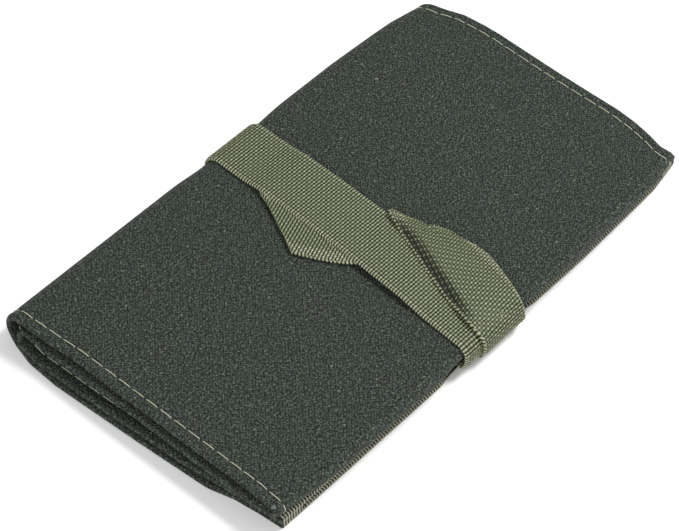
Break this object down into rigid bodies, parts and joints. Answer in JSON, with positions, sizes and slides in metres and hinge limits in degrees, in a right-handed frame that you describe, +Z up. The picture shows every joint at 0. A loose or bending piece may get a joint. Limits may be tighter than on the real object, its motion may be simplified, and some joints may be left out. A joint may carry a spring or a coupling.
{
  "type": "carving tool roll",
  "caption": "Canvas tool roll folded in four like a book, with inner pockets, wrapped and tucked with one webbing strap.",
  "frame": {"origin": "on the surface the roll lies on, under the middle of its outline", "axes": "+X along the folded roll, away from the end seen nearest; +Y towards the spine; +Z up"},
  "size_m": [0.222, 0.1368, 0.0182],
  "materials": {
    "canvas": "waxed plain-weave cotton canvas, dark green grey",
    "pocket_canvas": "plain-weave cotton canvas, dark green grey",
    "thread": "pale beige sewing thread",
    "edging_thread": "overcast beige thread",
    "webbing": "ribbed woven webbing, sage green"
  },
  "bodies": {
    "lower_leaf_body": {"lower_leaf": "canvas", "lower_hem_stitches": "thread", "lower_edging": "edging_thread", "lower_pockets": "pocket_canvas", "lower_pocket_seams": "thread", "strap_anchor": "webbing", "strap_anchor_stitches": "thread", "strap_under_run": "webbing", "outer_spine_fold": "canvas", "strap_spine_bend": "webbing"},
    "cover": {"cover_leaf": "canvas", "front_fold": "canvas", "inner_leaf": "canvas", "cover_hem_stitches": "thread", "inner_hem_stitches": "thread", "inner_pockets": "pocket_canvas", "inner_pocket_seams": "thread", "cover_pockets": "pocket_canvas", "cover_pocket_seams": "thread", "strap_top_run": "webbing", "strap_front_bend": "webbing", "wrap_front_bend": "webbing", "wrap_top_run": "webbing", "wrap_fold": "webbing", "tail_under_run": "webbing"},
    "middle": {"middle_leaf": "canvas", "middle_hem_stitches": "thread", "middle_edging": "edging_thread", "middle_pockets": "pocket_canvas", "middle_pocket_seams": "thread", "inner_spine_fold": "canvas"},
    "tail": {"strap_tail": "webbing"}
  },
  "joints": [
    {"name": "cover_open", "type": "hinge", "parent": "lower_leaf_body", "child": "cover", "pos_m": [0, 0.0652, 0.007], "axis": [-1, 0, 0], "range_deg": [0, 175], "deforming": ["outer_spine_fold", "strap_spine_bend"]},
    {"name": "middle_leaf_turn", "type": "hinge", "parent": "cover", "child": "middle", "pos_m": [0, 0.0585, 0.0069], "axis": [-1, 0, 0], "range_deg": [-87.5, 0], "deforming": ["inner_spine_fold"]},
    {"name": "tail_lift", "type": "hinge", "parent": "cover", "child": "tail", "pos_m": [-0.01637, -0.00901, 0.01475], "axis": [0.0697, 0.9976, 0], "range_deg": [0, 75]}
  ],
  "couplings": [
    {"joint": "middle_leaf_turn", "follows": "cover_open", "ratio": -0.5}
  ]
}
